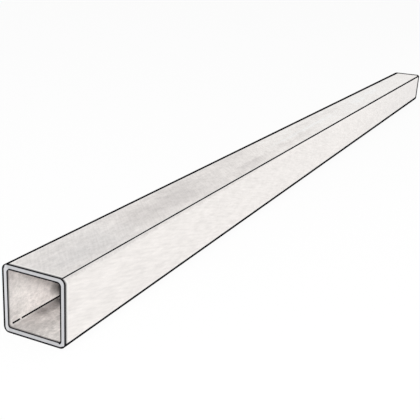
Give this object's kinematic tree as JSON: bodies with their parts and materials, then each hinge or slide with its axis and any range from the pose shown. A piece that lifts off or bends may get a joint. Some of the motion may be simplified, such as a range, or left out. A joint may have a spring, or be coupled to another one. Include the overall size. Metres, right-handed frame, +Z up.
{
  "type": "square metal tube",
  "caption": "Straight square steel tube, open right through, with round long corners and plain square-cut ends, lightly deburred, lying on one face.",
  "frame": {"origin": "middle of the face that the tube lies on", "axes": "+X along the tube, from the cut end nearest the viewer in the picture to the far one; +Z up, out of the top face; -Y out of the side face seen in the picture"},
  "size_m": [0.95, 0.04, 0.04],
  "materials": {
    "galvanised_steel": "satin"
  },
  "bodies": {
    "root": {"square_tube": "galvanised_steel"}
  },
  "joints": []
}
